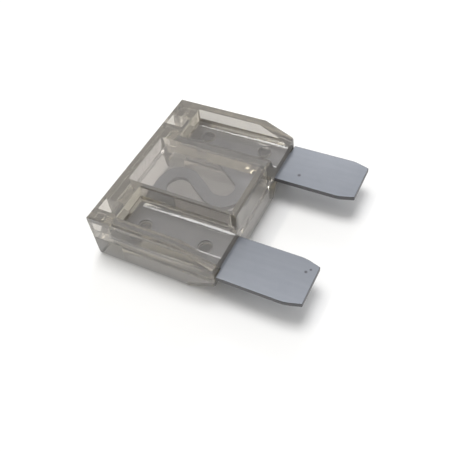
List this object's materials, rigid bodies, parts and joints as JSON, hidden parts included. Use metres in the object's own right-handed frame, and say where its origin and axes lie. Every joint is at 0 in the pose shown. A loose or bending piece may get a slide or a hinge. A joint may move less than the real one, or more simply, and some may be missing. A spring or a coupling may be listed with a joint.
{
  "type": "automotive blade fuse",
  "caption": "Large clear blade fuse: welded half shells round a flat zinc stamping with an S-shaped link and flat blades that plug into a holder.",
  "frame": {"origin": "middle of the face that the fuse lies on", "axes": "+X across both blades, +Y from the blade tips to the cap end, +Z through the thickness, up"},
  "size_m": [0.0292, 0.0342, 0.0089],
  "materials": {
    "clear_plastic": "clear moulded, faintly smoky",
    "zinc": "matte rolled zinc, bluish grey"
  },
  "bodies": {
    "root": {"lower_shell": "clear_plastic", "upper_shell": "clear_plastic", "fuse_element": "zinc"}
  },
  "joints": []
}
